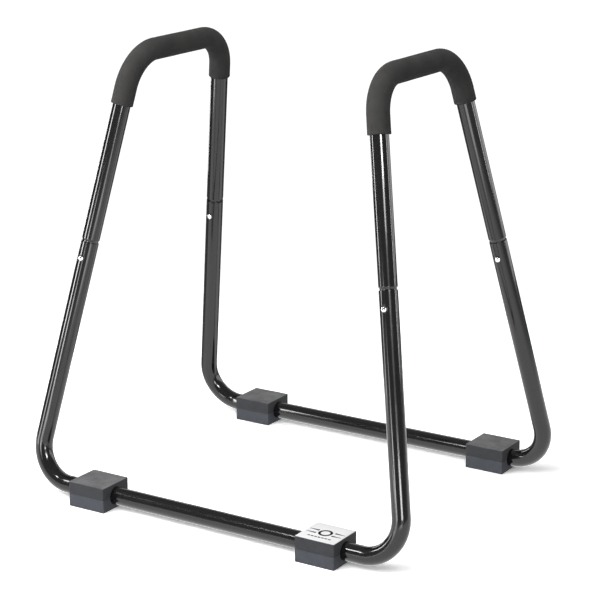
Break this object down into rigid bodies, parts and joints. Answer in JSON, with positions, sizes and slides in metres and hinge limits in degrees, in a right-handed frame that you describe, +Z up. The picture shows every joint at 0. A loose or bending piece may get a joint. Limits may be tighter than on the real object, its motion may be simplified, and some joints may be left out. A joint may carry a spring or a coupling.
{
  "type": "kip bar",
  "caption": "Free-standing kip bar: padded parallel grips on splayed tube legs, joined by snap buttons to base tubes that stand on split rubber feet.",
  "frame": {"origin": "centre of the stand's footprint on the floor", "axes": "+Z up, +X towards the right-hand grip, -Y towards the front, the side the snap buttons face; the grips run along Y"},
  "size_m": [0.8898, 0.7094, 0.928],
  "materials": {
    "black_steel": "gloss black enamel",
    "grip_foam": "matte closed-cell foam",
    "foot_rubber_upper": "matte, fine grain",
    "foot_rubber_lower": "matte, fine grain",
    "button_chrome": "polished",
    "spring_steel": "satin",
    "label_film": null
  },
  "bodies": {
    "stand": {"left_grip_tube": "black_steel", "right_grip_tube": "black_steel", "front_base_tube": "black_steel", "rear_base_tube": "black_steel", "left_foam_grip": "grip_foam", "right_foam_grip": "grip_foam", "front_left_foot_lower": "foot_rubber_lower", "front_left_foot_upper": "foot_rubber_upper", "front_right_foot_lower": "foot_rubber_lower", "front_right_foot_upper": "foot_rubber_upper", "rear_left_foot_lower": "foot_rubber_lower", "rear_left_foot_upper": "foot_rubber_upper", "rear_right_foot_lower": "foot_rubber_lower", "rear_right_foot_upper": "foot_rubber_upper", "foot_label": "label_film", "front_left_snap_spring": "spring_steel", "front_right_snap_spring": "spring_steel", "rear_left_snap_spring": "spring_steel", "rear_right_snap_spring": "spring_steel"},
    "front_left_button": {"front_left_snap_button": "button_chrome"},
    "front_right_button": {"front_right_snap_button": "button_chrome"},
    "rear_left_button": {"rear_left_snap_button": "button_chrome"},
    "rear_right_button": {"rear_right_snap_button": "button_chrome"}
  },
  "joints": [
    {"name": "front_left_button_press", "type": "slide", "parent": "stand", "child": "front_left_button", "axis": [-0.0318, 0.9843, -0.1733], "range_m": [0, 0.0065], "stiffness_N_per_m": 3000, "springref_m": -0.001, "deforming": ["front_left_snap_spring"]},
    {"name": "front_right_button_press", "type": "slide", "parent": "stand", "child": "front_right_button", "axis": [0.0318, 0.9843, -0.1733], "range_m": [0, 0.0065], "stiffness_N_per_m": 3000, "springref_m": -0.001, "deforming": ["front_right_snap_spring"]},
    {"name": "rear_left_button_press", "type": "slide", "parent": "stand", "child": "rear_left_button", "axis": [0.0318, 0.9843, 0.1733], "range_m": [0, 0.0065], "stiffness_N_per_m": 3000, "springref_m": -0.001, "deforming": ["rear_left_snap_spring"]},
    {"name": "rear_right_button_press", "type": "slide", "parent": "stand", "child": "rear_right_button", "axis": [-0.0318, 0.9843, 0.1733], "range_m": [0, 0.0065], "stiffness_N_per_m": 3000, "springref_m": -0.001, "deforming": ["rear_right_snap_spring"]}
  ]
}
